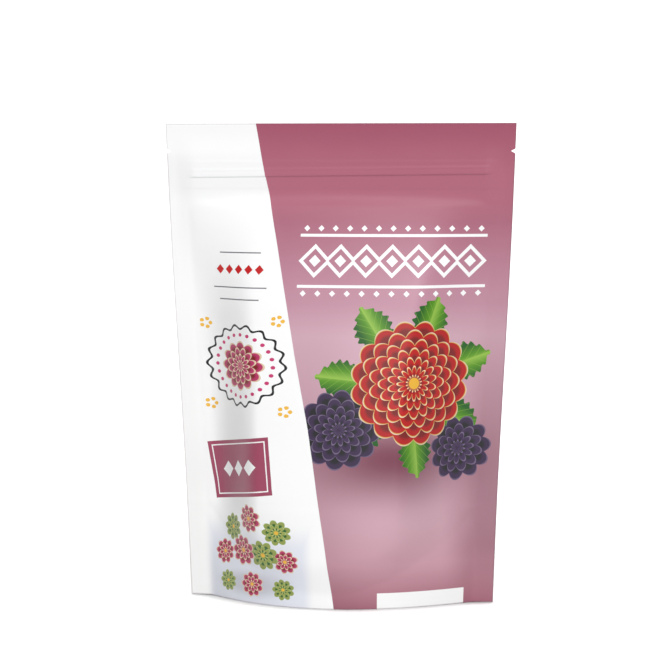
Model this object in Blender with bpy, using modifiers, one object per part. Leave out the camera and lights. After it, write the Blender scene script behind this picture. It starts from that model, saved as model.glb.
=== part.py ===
"""A stand-up pouch of freeze-dried fig halves, closed and standing on its opened bottom gusset.

Metres, +Z up. The origin is on the floor under the middle of the pouch, +X is the viewer's right and the
printed front faces -Y.
"""

import math
import random

import bmesh
import bpy
from mathutils import Euler, Matrix, Vector
from mathutils.bvhtree import BVHTree

# Driving dimensions of the pouch, standing and filled
POUCH_WIDTH = 0.150
POUCH_HEIGHT = 0.200
BASE_SIDE_PULL = 0.0101
BASE_HALF_DEPTH = 0.0312
SIDE_SEAL = 0.0088
GUSSET_FOLD = 0.040
GUSSET_SEAL = 0.006
CORNER_LIFT = 0.0008

# The laminated film and the clearance kept between separate pieces
FILM = 0.0004
GAP = 0.0003

# Heights of the header features, measured down from the top edge
NOTCH_DROP = 0.0116
NOTCH_DEPTH = 0.0022
NOTCH_HALF_HEIGHT = 0.0014
ZIPPER_DROP = 0.0221
ZIPPER_BAND_TOP_DROP = 0.0161
ZIPPER_BAND_BOTTOM_DROP = 0.0268
PILLOW_TOP_DROP = 0.0300

# The zipper strips' section: tapes that swell over the track, a rib on one and a groove on the other
TAPE = 0.0003
TAPE_EDGE_Y = 0.0006
TAPE_PEAK_Y = 0.0013
PEAK_HALF = 0.0017
SHOULDER = 0.0022
RIB_STEM_HALF = 0.00022
RIB_BULB_HALF = 0.00048
RIB_TIP_Y = -0.00055
RIB_NECK_Y = 0.00005
JAW_HALF = 0.0015
JAW_CAVITY_HALF = 0.00082
JAW_MOUTH_HALF = 0.00055
JAW_LIP_Y = 0.00018
JAW_END_Y = 0.00050

# One freeze-dried half fig: a pear-shaped fruit cut lengthwise, with a slightly sunken cut face
FIG_LENGTH = 0.040
FIG_WIDTH = 0.033
FIG_SEGMENTS = 16
FIG_RINGS = 12
FIG_RIM = 0.0030
FIG_DISH = 0.0016

FILM_MAUVE = (0.455, 0.150, 0.205, 1.0)
FILM_LINING = (0.62, 0.63, 0.65, 1.0)
ZIPPER_CLEAR = (0.80, 0.80, 0.80, 1.0)
FIG_SKIN = (0.33, 0.30, 0.10, 1.0)

PARTS_COLLECTION = "freeze_dried_fig_pouch"


def clear_scene():
    for obj in list(bpy.data.objects):
        bpy.data.objects.remove(obj, do_unlink=True)


def make_collection(name):
    collection = bpy.data.collections.new(name)
    bpy.context.scene.collection.children.link(collection)
    return collection


def make_material(name, colour, roughness, metallic=0.0):
    material = bpy.data.materials.new(name)
    material.use_nodes = True
    shader = material.node_tree.nodes["Principled BSDF"]
    shader.inputs["Base Color"].default_value = colour
    shader.inputs["Roughness"].default_value = roughness
    shader.inputs["Metallic"].default_value = metallic
    return material


def object_from_bmesh(name, bm, collection, material=None):
    mesh = bpy.data.meshes.new(name)
    bm.to_mesh(mesh)
    bm.free()
    obj = bpy.data.objects.new(name, mesh)
    collection.objects.link(obj)
    if material:
        mesh.materials.append(material)
    return obj


def smoothstep(low, high, value):
    t = min(1.0, max(0.0, (value - low) / (high - low)))
    return t * t * (3.0 - 2.0 * t)


def spread(low, high, steps):
    return [low + (high - low) * i / steps for i in range(steps + 1)]


# The shape of the standing pouch

PILLOW_TOP = POUCH_HEIGHT - PILLOW_TOP_DROP
SEAL_EDGE_U = 1.0 - SIDE_SEAL / (POUCH_WIDTH / 2)
SEAL_EDGE_SOFTNESS = 0.06
SEAL_CURVE = 2.2
SIDE_CURVE = 0.03
PILLOW_FALL = 0.85
PILLOW_BELLY = 0.10
PILLOW_CORNER = 0.009
FLANK_HALF = 0.23
FLANK_LOW = 0.72
FLANK_HIGH = 0.77
FLANK_RISE_START = 0.090
FLANK_RISE_END = 0.140
BOX_DOME = 0.40
BOX_START = 0.008
BOX_FULL_LOW = 0.050
BOX_FULL_HIGH = 0.125
LIFT_START = 0.4
SWELL = 0.0018
SWELL_REACH = 0.014
EDGE_LIFT = 0.0007
EDGE_LIFT_REACH = 0.0025
RIM_RISE = 0.00005


def half_width(z):
    """Half the pouch's width at a height: the filled base pulls the side seals in."""
    drop = 1.0 - z / POUCH_HEIGHT
    pull = drop - SIDE_CURVE * math.sin(2.0 * math.pi * drop)
    return POUCH_WIDTH / 2 - BASE_SIDE_PULL * pull


def panel_x(u, z):
    """Where a column lies at a height: u runs -1 to 1, and the side seals keep their width."""
    inner = half_width(z) - SIDE_SEAL
    share = abs(u)
    if share <= SEAL_EDGE_U:
        reach = inner * share / SEAL_EDGE_U
    else:
        reach = inner + SIDE_SEAL * (share - SEAL_EDGE_U) / (1.0 - SEAL_EDGE_U)
    return math.copysign(reach, u)


def corner_lift(u):
    """How far the rim rises off the floor towards the pouch's sides."""
    return CORNER_LIFT * max(0.0, (abs(u) - LIFT_START) / (1.0 - LIFT_START)) ** 2


def seal_height(x, z):
    """The upper edge of the seal between panel and gusset: low in the middle, up to the fold at the sides."""
    xi = min(1.0, abs(x) / (half_width(z) - SIDE_SEAL))
    return GUSSET_SEAL + (GUSSET_FOLD - GUSSET_SEAL) * xi**SEAL_CURVE


def centre_depth(z):
    """How far one panel stands out from the pouch's middle plane, on its centre line."""
    q = min(1.0, max(0.0, z / PILLOW_TOP))
    return BASE_HALF_DEPTH * (1.0 - q * q) ** PILLOW_FALL * (1.0 + PILLOW_BELLY * q * (1.0 - q) ** 2)


def pillow_inset(x, z):
    """Distance inside the chamber's outline: its side seals, its rounded top corners and its bottom seal."""
    over_x = abs(x) - (half_width(z) - SIDE_SEAL - PILLOW_CORNER)
    over_z = z - (PILLOW_TOP - PILLOW_CORNER)
    outside = math.hypot(max(over_x, 0.0), max(over_z, 0.0)) + min(max(over_x, over_z), 0.0)
    return min(PILLOW_CORNER - outside, z - seal_height(x, z))


def arch_share(x, z):
    """The panel's section, 1 at the centre line: a round arch at rim and top, and between them steep flanks."""
    q = abs(x) / (half_width(z) - SIDE_SEAL)
    lift = 1.0 - q * q
    round_arch = min(1.0, (lift + math.sqrt(lift * lift + SEAL_EDGE_SOFTNESS**2)) / 2)
    flank = FLANK_LOW + (FLANK_HIGH - FLANK_LOW) * smoothstep(FLANK_RISE_START, FLANK_RISE_END, z)
    box_arch = (1.0 - BOX_DOME * q * q) * (1.0 - smoothstep(flank - FLANK_HALF, flank + FLANK_HALF, q))
    boxed = smoothstep(BOX_START, BOX_FULL_LOW, z) * (1.0 - smoothstep(BOX_FULL_HIGH, PILLOW_TOP, z))
    return round_arch + (box_arch - round_arch) * boxed


def pillow_depth(x, z):
    """The same anywhere on the panel: an arch between the side seals that swells out of its seals."""
    arch = arch_share(x, z)
    fade = max(0.0, 1.0 - (z / PILLOW_TOP) ** 2)
    swell = SWELL * smoothstep(0.0, SWELL_REACH, z - seal_height(x, z)) * arch * fade
    edge = EDGE_LIFT * (1.0 - math.exp(-max(0.0, pillow_inset(x, z)) / EDGE_LIFT_REACH))
    return centre_depth(z) * arch + swell + edge


ZIPPER_Z = POUCH_HEIGHT - ZIPPER_DROP
BAND_TOP = POUCH_HEIGHT - ZIPPER_BAND_TOP_DROP
BAND_BOTTOM = POUCH_HEIGHT - ZIPPER_BAND_BOTTOM_DROP
BAND_EASE = 0.0015
ZIPPER_HALF_LENGTH = 0.0620
ZIPPER_CLEAR_X = 0.0625
LAYER_EASE = 0.006


def tape_outer(z):
    """Distance from the middle plane to a zipper tape's outer face."""
    off_peak = max(0.0, abs(z - ZIPPER_Z) - PEAK_HALF)
    return TAPE_PEAK_Y + (TAPE_EDGE_Y - TAPE_PEAK_Y) * min(1.0, off_peak / SHOULDER)


def layer_room(x, z):
    """Room left between a panel's inner face and the middle plane for the layers held there."""
    gusset_leaf = (FILM + GAP) * smoothstep(GUSSET_FOLD + LAYER_EASE, GUSSET_FOLD, z)
    in_band = smoothstep(BAND_BOTTOM - BAND_EASE, BAND_BOTTOM, z)
    in_band *= smoothstep(BAND_TOP + BAND_EASE, BAND_TOP, z)
    along_zipper = smoothstep(half_width(ZIPPER_Z) - SIDE_SEAL, ZIPPER_CLEAR_X, abs(x))
    zipper = (tape_outer(z) + GAP / 2) * in_band * along_zipper
    return GAP / 2 + gusset_leaf + zipper


def inner_depth(x, z):
    """Distance from the middle plane to a panel's inner face."""
    return layer_room(x, z) + pillow_depth(x, z)


# Grid lines shared by the panels and the gusset, so that their facets lie side by side

INNER_COLUMNS = 24
ZIPPER_END_U = SEAL_EDGE_U * ZIPPER_CLEAR_X / (half_width(ZIPPER_Z) - SIDE_SEAL)
COLUMNS = (
    [-1.0, (-1.0 - SEAL_EDGE_U) / 2, -SEAL_EDGE_U]
    + spread(-ZIPPER_END_U, ZIPPER_END_U, INNER_COLUMNS)
    + [SEAL_EDGE_U, (1.0 + SEAL_EDGE_U) / 2, 1.0]
)
PILLOW_ROWS = 26
NOTCH_Z = POUCH_HEIGHT - NOTCH_DROP
ROWS = spread(0.0, PILLOW_TOP - 0.005, PILLOW_ROWS) + [
    PILLOW_TOP - 0.001,
    PILLOW_TOP,
    BAND_BOTTOM - BAND_EASE,
    BAND_BOTTOM,
    ZIPPER_Z - PEAK_HALF - SHOULDER,
    ZIPPER_Z - PEAK_HALF,
    ZIPPER_Z + PEAK_HALF,
    ZIPPER_Z + PEAK_HALF + SHOULDER,
    BAND_TOP,
    BAND_TOP + BAND_EASE,
    NOTCH_Z - NOTCH_HALF_HEIGHT,
    NOTCH_Z,
    NOTCH_Z + NOTCH_HALF_HEIGHT,
    POUCH_HEIGHT,
]


def mapped_grid(columns, rows, place):
    """A grid whose vertex at column i and row j is moved to place(columns[i], rows[j])."""
    bm = bmesh.new()
    across = len(columns) - 1
    up = len(rows) - 1
    bmesh.ops.create_grid(bm, x_segments=across, y_segments=up, size=1.0)
    for vert in bm.verts:
        i = round((vert.co.x + 1.0) / 2.0 * across)
        j = round((vert.co.y + 1.0) / 2.0 * up)
        vert.co = place(columns[i], rows[j])
    return bm


def thicken(obj):
    """Gives the film its thickness, on the side its normals face."""
    solidify = obj.modifiers.new("film", "SOLIDIFY")
    solidify.thickness = FILM
    solidify.offset = 1.0
    solidify.use_even_offset = True


def make_panel(name, facing, material, collection):
    """One printed wall with its tear notches; facing is -1 for the front and 1 for the back."""

    def place(u, row):
        x = panel_x(u, row)
        if abs(u) == 1.0 and row == NOTCH_Z:
            x -= math.copysign(NOTCH_DEPTH, u)
        lift = corner_lift(u) * (1.0 - row / POUCH_HEIGHT)
        return Vector((x, facing * inner_depth(x, row), row + lift + RIM_RISE))

    bm = mapped_grid(COLUMNS, ROWS, place)
    if facing > 0:
        bmesh.ops.reverse_faces(bm, faces=bm.faces[:])
    panel = object_from_bmesh(name, bm, collection, material)
    thicken(panel)
    return panel


# The bottom gusset: a web folded into the base, opened to an oval floor

GUSSET_RIM = 0.0010
SLOPE_STEP = 0.0005
GUSSET_SLACK = 1.08
SEAL_ROW_TOP = 0.034
FLANGE_STEPS = 6
WEB_STEPS = 6
BELLY_END = 0.30
CREASE_START = 0.95
BELLY_SHAPE = 2.0
CREASE_SHAPE = 1.15
BELLY_TRIM = 0.0004
CREASE_SHARE = 0.02
CREASE_HALF = 0.00011


def steepness(x, z):
    """How much longer a panel's slope makes a step square to it than one along Y."""
    step = SLOPE_STEP
    across = (inner_depth(x + step, z) - inner_depth(x - step, z)) / (2 * step)
    up = (inner_depth(x, z + step) - inner_depth(x, z - step)) / (2 * step)
    return math.sqrt(1.0 + across**2 + up**2)


def gusset_flange_y(x, z):
    return inner_depth(x, z) - (FILM + GAP) * GUSSET_SLACK * steepness(x, z)


def gusset_section(u, film):
    """A point of the gusset's underside, at a distance along the film from its rim to its fold."""
    seal_z = seal_height(panel_x(u, 0.0), 0.0)
    if film <= seal_z:
        x = panel_x(u, film)
        return x, gusset_flange_y(x, film), film
    x = panel_x(u, seal_z)
    reach = gusset_flange_y(x, seal_z)
    web = GUSSET_FOLD - seal_z
    crease_z = min(GUSSET_FOLD, seal_z + math.sqrt(max(0.0, web**2 - reach**2)))
    belly_z = max(0.0, seal_z - math.sqrt(1.5 * reach * max(0.0, web - reach)))
    rise = smoothstep(BELLY_END, CREASE_START, abs(u) / SEAL_EDGE_U)
    middle_z = belly_z + (crease_z - belly_z) * rise
    shape = BELLY_SHAPE + (CREASE_SHAPE - BELLY_SHAPE) * rise
    t = max(0.0, (GUSSET_FOLD - film) / web)
    z = middle_z + (seal_z - middle_z) * t**shape
    y = max(CREASE_HALF, reach * max(CREASE_SHARE, t))
    return x, y, max(0.0, z - BELLY_TRIM * (1.0 - rise))


def film_distance(u, share):
    """Film distance of a grid row: share runs 0 to 1 up the flange, and on to 2 at the fold."""
    line = min(SEAL_ROW_TOP, seal_height(panel_x(u, 0.0), 0.0))
    if share <= 1.0:
        return GUSSET_RIM + (line - GUSSET_RIM) * share
    return line + (GUSSET_FOLD - line) * (share - 1.0)


def make_gusset(material, collection):
    """The web: a flange sealed to each panel, and between them the floor with a crease to each side."""
    shares = spread(0.0, 1.0, FLANGE_STEPS) + spread(1.0, 2.0, WEB_STEPS)[1:]
    rows = [(-1, share) for share in shares] + [(1, share) for share in reversed(shares)]

    def place(u, row):
        side, share = row
        x, y, z = gusset_section(u, film_distance(u, share))
        return Vector((x, side * y, z + corner_lift(u)))

    bm = mapped_grid(COLUMNS, rows, place)
    gusset = object_from_bmesh("bottom_gusset", bm, collection, material)
    thicken(gusset)
    return gusset


# The press-to-close zipper


def make_strip(name, outline, material, collection):
    """A zipper strip: its section in (y, height above the track), extruded along X."""
    curve = bpy.data.curves.new(name, "CURVE")
    curve.dimensions = "2D"
    curve.fill_mode = "BOTH"
    curve.extrude = ZIPPER_HALF_LENGTH
    spline = curve.splines.new("POLY")
    spline.points.add(len(outline) - 1)
    for point, (y, z) in zip(spline.points, outline):
        point.co = (y, z, 0.0, 1.0)
    spline.use_cyclic_u = True
    strip = bpy.data.objects.new(name, curve)
    strip.matrix_world = Matrix.Translation((0.0, 0.0, ZIPPER_Z)) @ Matrix(
        ((0, 0, 1, 0), (1, 0, 0, 0), (0, 1, 0, 0), (0, 0, 0, 1))
    )
    collection.objects.link(strip)
    curve.materials.append(material)
    return strip


def make_zipper(material, collection):
    top = BAND_TOP - ZIPPER_Z
    bottom = BAND_BOTTOM - ZIPPER_Z
    outer = [
        (TAPE_EDGE_Y, bottom),
        (TAPE_EDGE_Y, -PEAK_HALF - SHOULDER),
        (TAPE_PEAK_Y, -PEAK_HALF),
        (TAPE_PEAK_Y, PEAK_HALF),
        (TAPE_EDGE_Y, PEAK_HALF + SHOULDER),
        (TAPE_EDGE_Y, top),
    ]
    inner = [(y - TAPE, z) for y, z in reversed(outer)]
    face = TAPE_PEAK_Y - TAPE
    rib_profile = [
        (face, RIB_STEM_HALF),
        (RIB_NECK_Y, RIB_STEM_HALF),
        (RIB_NECK_Y, RIB_BULB_HALF),
        (RIB_TIP_Y, RIB_STEM_HALF),
        (RIB_TIP_Y, -RIB_STEM_HALF),
        (RIB_NECK_Y, -RIB_BULB_HALF),
        (RIB_NECK_Y, -RIB_STEM_HALF),
        (face, -RIB_STEM_HALF),
    ]
    upper_jaw = [
        (-face, JAW_HALF),
        (JAW_END_Y, JAW_HALF),
        (JAW_END_Y, JAW_MOUTH_HALF),
        (JAW_LIP_Y + GAP, JAW_MOUTH_HALF),
        (JAW_LIP_Y + GAP / 2, JAW_CAVITY_HALF),
        (-face, JAW_CAVITY_HALF),
    ]
    lower_jaw = [(y, -z) for y, z in reversed(upper_jaw)]
    rib = outer + inner[:3] + rib_profile + inner[3:]
    mirrored_outer = [(-y, z) for y, z in outer]
    mirrored_inner = [(-y, z) for y, z in inner]
    groove = mirrored_outer + mirrored_inner[:3] + upper_jaw + lower_jaw + mirrored_inner[3:]
    make_strip("zipper_groove_strip", groove, material, collection)
    make_strip("zipper_rib_strip", rib, material, collection)


# The freeze-dried fig halves


def fig_radius(t):
    """Radius of the fruit at t from the stalk end (0) to the eye (1), as a share of its widest."""
    body = math.sin(math.pi * min(1.0, t) ** 1.35) ** 0.78
    neck = 0.30 * math.exp(-(((t - 0.10) / 0.12) ** 2))
    return max(body, neck * smoothstep(0.0, 0.05, t))


def fig_half_mesh():
    """A fig cut lengthwise: its axis on X, its cut face at z = 0 and its skin below."""
    bm = bmesh.new()
    bmesh.ops.create_uvsphere(bm, u_segments=FIG_SEGMENTS, v_segments=FIG_RINGS, radius=1.0)
    for vert in bm.verts:
        along = (1.0 - vert.co.z) / 2.0
        ring = math.hypot(vert.co.x, vert.co.y)
        radius = fig_radius(along) * FIG_WIDTH / 2 if ring > 1e-6 else 0.0
        turn = math.atan2(vert.co.y, vert.co.x)
        vert.co = Vector(
            ((along - 0.5) * FIG_LENGTH, radius * math.cos(turn), radius * math.sin(turn))
        )
    cut = bmesh.ops.bisect_plane(
        bm,
        geom=bm.verts[:] + bm.edges[:] + bm.faces[:],
        dist=1e-6,
        plane_co=(0.0, 0.0, 0.0),
        plane_no=(0.0, 0.0, 1.0),
        clear_outer=True,
    )
    rim = [e for e in cut["geom_cut"] if isinstance(e, bmesh.types.BMEdge)]
    lid = bmesh.ops.contextual_create(bm, geom=rim)["faces"]
    bmesh.ops.inset_region(bm, faces=lid, thickness=FIG_RIM, depth=-FIG_DISH, use_even_offset=True)
    bmesh.ops.remove_doubles(bm, verts=bm.verts[:], dist=1e-5)
    bmesh.ops.recalc_face_normals(bm, faces=bm.faces[:])
    mesh = bpy.data.meshes.new("fig_half")
    bm.to_mesh(mesh)
    bm.free()
    return mesh


# How the halves are laid in: each tries a number of poses and keeps the one that lies lowest
FIG_COUNT = 9
FIG_SEED = 4
FIG_TRIES = 40
FIG_SPREAD_X = 0.040
FIG_SPREAD_Y = 0.012
FIG_TILT = 35.0
FIG_CLEARANCE = 1.03
DROP_FLOOR = 0.004
DROP_CEILING = 0.125
DROP_STEP = 0.003
SETTLE_STEP = 0.0004


def tree_of(obj):
    graph = bpy.context.evaluated_depsgraph_get()
    evaluated = obj.evaluated_get(graph)
    mesh = evaluated.to_mesh()
    verts = [obj.matrix_world @ v.co for v in mesh.vertices]
    tree = BVHTree.FromPolygons(verts, [list(p.vertices) for p in mesh.polygons])
    evaluated.to_mesh_clear()
    return tree


def is_free(points, faces, offset, taken):
    trial = BVHTree.FromPolygons([point + offset for point in points], faces)
    return not any(trial.overlap(tree) for tree in taken)


def lowest_height(points, faces, x, y, taken):
    """The lowest height at which the half clears everything laid in before it."""
    z = DROP_FLOOR - min(point.z for point in points)
    while z < DROP_CEILING and not is_free(points, faces, Vector((x, y, z)), taken):
        z += DROP_STEP
    while is_free(points, faces, Vector((x, y, z - SETTLE_STEP)), taken) and z > DROP_FLOOR:
        z -= SETTLE_STEP
    return z


def settle_figs(walls, material, collection):
    """Lays the halves in one after another, each where it reaches the least high."""
    mesh = fig_half_mesh()
    mesh.materials.append(material)
    faces = [list(p.vertices) for p in mesh.polygons]
    taken = [tree_of(wall) for wall in walls]
    chance = random.Random(FIG_SEED)
    for number in range(1, FIG_COUNT + 1):
        best = None
        for _ in range(FIG_TRIES):
            x = chance.uniform(-FIG_SPREAD_X, FIG_SPREAD_X)
            y = chance.uniform(-FIG_SPREAD_Y, FIG_SPREAD_Y)
            roll = chance.choice((0.0, 180.0)) + chance.uniform(-FIG_TILT, FIG_TILT)
            pitch = chance.uniform(-FIG_TILT, FIG_TILT)
            heading = chance.uniform(0.0, 360.0)
            angles = [math.radians(a) for a in (roll, pitch, heading)]
            turn = Euler(angles).to_matrix().to_4x4()
            points = [turn @ (v.co * FIG_CLEARANCE) for v in mesh.vertices]
            z = lowest_height(points, faces, x, y, taken)
            top = z + max(point.z for point in points)
            if best is None or top < best[0]:
                best = (top, Matrix.Translation((x, y, z)) @ turn)
        fig = bpy.data.objects.new(f"fig_half_{number}", mesh)
        fig.matrix_world = best[1]
        collection.objects.link(fig)
        bpy.context.view_layer.update()
        taken.append(tree_of(fig))
        print(f"fig_half_{number} reaches {best[0] * 1000:.1f} mm")


def main():
    clear_scene()
    parts = make_collection(PARTS_COLLECTION)
    film = make_material("printed_film", FILM_MAUVE, 0.45)
    lining = make_material("film_lining", FILM_LINING, 0.40)
    clear = make_material("zipper_plastic", ZIPPER_CLEAR, 0.35)
    skin = make_material("fig_skin", FIG_SKIN, 0.85)

    front = make_panel("front_panel", -1, film, parts)
    back = make_panel("back_panel", 1, film, parts)
    gusset = make_gusset(lining, parts)
    make_zipper(clear, parts)
    bpy.context.view_layer.update()
    settle_figs([front, back, gusset], skin, parts)


main()
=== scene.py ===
# %% [markdown]
# # A stand-up pouch of dried fruit
# A stand-up pouch is a bag of laminated plastic film. Its two printed walls are heat-sealed to each other
# along the sides and the top, and a folded web is sealed in between them at the bottom. Filling the pouch
# opens the web to an oval floor, on which it stands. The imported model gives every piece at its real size.
# This script keeps it as a frame and dresses it with fine film, print, plastic and fruit.

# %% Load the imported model
import math

import bmesh
import bpy
import numpy as np
from mathutils import Matrix, Vector, noise


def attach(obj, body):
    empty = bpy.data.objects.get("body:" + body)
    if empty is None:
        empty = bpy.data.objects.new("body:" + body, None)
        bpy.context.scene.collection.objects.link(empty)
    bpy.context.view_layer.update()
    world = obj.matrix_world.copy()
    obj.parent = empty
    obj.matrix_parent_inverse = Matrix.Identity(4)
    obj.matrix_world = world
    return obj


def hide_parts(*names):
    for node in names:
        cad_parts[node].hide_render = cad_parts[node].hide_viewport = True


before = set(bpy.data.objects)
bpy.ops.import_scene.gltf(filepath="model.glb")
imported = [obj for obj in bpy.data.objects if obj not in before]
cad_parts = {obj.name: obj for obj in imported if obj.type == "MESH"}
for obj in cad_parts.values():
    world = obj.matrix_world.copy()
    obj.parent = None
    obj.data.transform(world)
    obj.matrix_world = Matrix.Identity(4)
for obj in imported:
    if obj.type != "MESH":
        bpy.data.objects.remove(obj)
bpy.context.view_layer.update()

# %% [markdown]
# ## The camera
# The photo was taken with a long lens, a little to the right of the pouch and just above its top, so the
# sides stay nearly parallel. The place was found by matching the corners and the bowed bottom rim. Three
# turns aim the camera: it leans back from looking straight down, swings round and rolls a touch.

# %% Camera at the photo's viewpoint
MM = 0.001
CAMERA_DISTANCE = 1416.3 * MM
CAMERA_HEIGHT = 211.8 * MM
CAMERA_AZIMUTH = math.radians(12.129)
CAMERA_HEADING = math.radians(12.212)
CAMERA_PITCH = math.radians(-4.059)
CAMERA_ROLL = math.radians(-0.214)
LENS = 181.8
SENSOR = 36.0

camera_data = bpy.data.cameras.new("camera")
camera_data.lens = LENS
camera_data.sensor_width = SENSOR
camera = bpy.data.objects.new("camera", camera_data)
bpy.context.scene.collection.objects.link(camera)
camera.matrix_world = (
    Matrix.Translation(
        (
            CAMERA_DISTANCE * math.sin(CAMERA_AZIMUTH),
            -CAMERA_DISTANCE * math.cos(CAMERA_AZIMUTH),
            CAMERA_HEIGHT,
        )
    )
    @ Matrix.Rotation(CAMERA_HEADING, 4, "Z")
    @ Matrix.Rotation(math.pi / 2 + CAMERA_PITCH, 4, "X")
    @ Matrix.Rotation(CAMERA_ROLL, 4, "Z")
)
bpy.context.scene.camera = camera
bpy.context.scene.view_settings.view_transform = "Standard"
print("camera:", round(LENS), "mm lens,", round(CAMERA_DISTANCE, 2), "m away")

# %% [markdown]
# ## Arithmetic on a surface
# Print stays crisp at any zoom when it is drawn by arithmetic on the film's own coordinates, and not kept
# in an image. Each step is a Math node, and hundreds of them are tedious to wire by hand. A small class
# gives a node's output the signs + - * / of ordinary numbers, and every sign used adds its node.

# %% Fields: numbers that vary over the film
def math_node(tree, operation, *values):
    node = tree.nodes.new("ShaderNodeMath")
    node.operation = operation
    for slot, value in zip(node.inputs, values):
        feed(tree, slot, value)
    return Field(tree, node.outputs[0])


def feed(tree, slot, value):
    """Links a field to a node's input, or sets the input to a plain number or colour."""
    if isinstance(value, Field):
        tree.links.new(value.socket, slot)
    else:
        slot.default_value = value


def one_sided(operation):
    return lambda self: math_node(self.tree, operation, self)


def two_sided(operation):
    return lambda self, other: math_node(self.tree, operation, self, other)


class Field:
    """A number, or a colour, that varies over a surface."""

    def __init__(self, tree, socket):
        self.tree = tree
        self.socket = socket

    __abs__ = one_sided("ABSOLUTE")
    ceiling = one_sided("CEIL")
    sine = one_sided("SINE")
    cosine = one_sided("COSINE")
    __add__ = two_sided("ADD")
    __sub__ = two_sided("SUBTRACT")
    __mul__ = two_sided("MULTIPLY")
    __truediv__ = two_sided("DIVIDE")
    below = two_sided("LESS_THAN")
    above = two_sided("GREATER_THAN")
    least = two_sided("MINIMUM")
    most = two_sided("MAXIMUM")
    to_power = two_sided("POWER")

    def __rsub__(self, other):
        return math_node(self.tree, "SUBTRACT", other, self)

    def folded(self, period):
        """The offset from the nearest multiple of a period: it repeats a motif."""
        return math_node(self.tree, "WRAP", self, period / 2, -period / 2)

    def eased(self, low, high):
        """0 below low, 1 above high, and smooth between them."""
        node = self.tree.nodes.new("ShaderNodeMapRange")
        node.interpolation_type = "SMOOTHSTEP"
        for slot, value in zip(node.inputs, (self, low, high)):
            feed(self.tree, slot, value)
        return Field(self.tree, node.outputs[0])


def distance(x, y):
    return math_node(x.tree, "SQRT", x * x + y * y)


def turns(x, y):
    """The direction of a point as a share of a full turn, from -0.5 to 0.5."""
    return math_node(x.tree, "ARCTAN2", y, x) / (2 * math.pi)


def paint(under, mask, colour):
    """Lays a colour, or a field of colours, over another where the mask is 1."""
    node = under.tree.nodes.new("ShaderNodeMix")
    node.data_type = "RGBA"
    feed(under.tree, node.inputs["Factor"], mask)
    feed(under.tree, node.inputs[6], under)
    feed(under.tree, node.inputs[7], colour)
    return Field(under.tree, node.outputs[2])


def blend_colours(value, stops):
    """A Color Ramp: each stop is a place from 0 to 1 and a colour."""
    node = value.tree.nodes.new("ShaderNodeValToRGB")
    ramp = node.color_ramp
    while len(ramp.elements) < len(stops):
        ramp.elements.new(0.5)
    for element, (place, colour) in zip(ramp.elements, stops):
        element.position = place
        element.color = colour
    feed(value.tree, node.inputs[0], value)
    return Field(value.tree, node.outputs[0])


print("fields add, compare, fold and ease numbers over a surface")

# %% [markdown]
# ## Pieces and materials
# Every piece needs the same steps: its mesh becomes an object, and its material is a Principled shader with
# noise, read at the object's own coordinates or at a UV map so that it stays on the piece. Each step is
# written once here.

# %% Helpers for pieces and materials
def shown(name, bm):
    """Puts a finished bmesh into the scene as an object."""
    mesh = bpy.data.meshes.new(name)
    bm.to_mesh(mesh)
    bm.free()
    piece = bpy.data.objects.new(name, mesh)
    bpy.context.scene.collection.objects.link(piece)
    return piece


def new_material(name, look):
    """A Principled material: look gets its node tree and gives the shader's inputs."""
    material = bpy.data.materials.new(name)
    material.use_nodes = True
    tree = material.node_tree
    shader = tree.nodes["Principled BSDF"]
    for slot, value in look(tree).items():
        feed(tree, shader.inputs[slot], value)
    return material


def new_node(tree, kind, **values):
    """A node with its inputs set or linked."""
    node = tree.nodes.new(kind)
    for slot, value in values.items():
        feed(tree, node.inputs[slot], value)
    return node


def object_place(tree):
    return Field(tree, tree.nodes.new("ShaderNodeTexCoord").outputs["Object"])


def uv_place(tree, layer):
    """A UV map as one field, and its two coordinates."""
    node = tree.nodes.new("ShaderNodeUVMap")
    node.uv_map = layer
    place = Field(tree, node.outputs[0])
    parts = new_node(tree, "ShaderNodeSeparateXYZ", Vector=place)
    return place, Field(tree, parts.outputs[0]), Field(tree, parts.outputs[1])


def cloud(place, scale, detail):
    """Noise around 0.5."""
    node = new_node(place.tree, "ShaderNodeTexNoise", Vector=place, Scale=scale, Detail=detail)
    return Field(place.tree, node.outputs[0])


print("helpers for pieces and materials ready")

# %% [markdown]
# ## The studio
# A product shot has a white floor and very soft light. A ring of area lights would do. Here a world that is
# white at the horizon stands for the studio's walls, dimmer at both sides, where dark boards keep a white
# object's shape. Two wide suns stand for softboxes, a key in front and a weaker one behind. The floor glows
# a little, as a lit acrylic table does, and an Ambient Occlusion node darkens it only where the pouch's rim
# comes close.

# %% World, floor and soft lights
FLOOR_SIZE = 60.0
FLOOR_DROP = 0.05 * MM
FLOOR_WHITE = 0.97
FLOOR_GLOW = 0.20
CONTACT_REACH = 10 * MM
CONTACT_SAMPLES = 4
SKY_STRENGTH = 1.08
SUN_SPREAD = 40.0
# Each sun: its name, its strength, and where it shines from in degrees round from the printed front and up
SUNS = [("key_light", 2.40, 18.0, 43.0), ("back_light", 1.20, 190.0, 42.0)]


def grey(level):
    return (level, level, level, 1.0)


def sky_stops(below, horizon, above):
    """The sky's light by the height that a direction points at: 0 is straight down and 1 is straight up."""
    levels = [(0.47, below), (0.49, horizon), (0.52, horizon), (0.57, above)]
    return [(height, grey(level)) for height, level in levels]


def floor_look(tree):
    """White and glowing, and darker where something stands close above it."""
    openness = new_node(tree, "ShaderNodeAmbientOcclusion", Distance=CONTACT_REACH)
    openness.samples = CONTACT_SAMPLES
    open_share = Field(tree, openness.outputs["AO"])
    return {
        "Base Color": open_share * FLOOR_WHITE,
        "Emission Color": grey(1.0),
        "Emission Strength": open_share * FLOOR_GLOW,
        "Roughness": 0.9,
        "Specular IOR Level": 0.0,
    }


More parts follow.
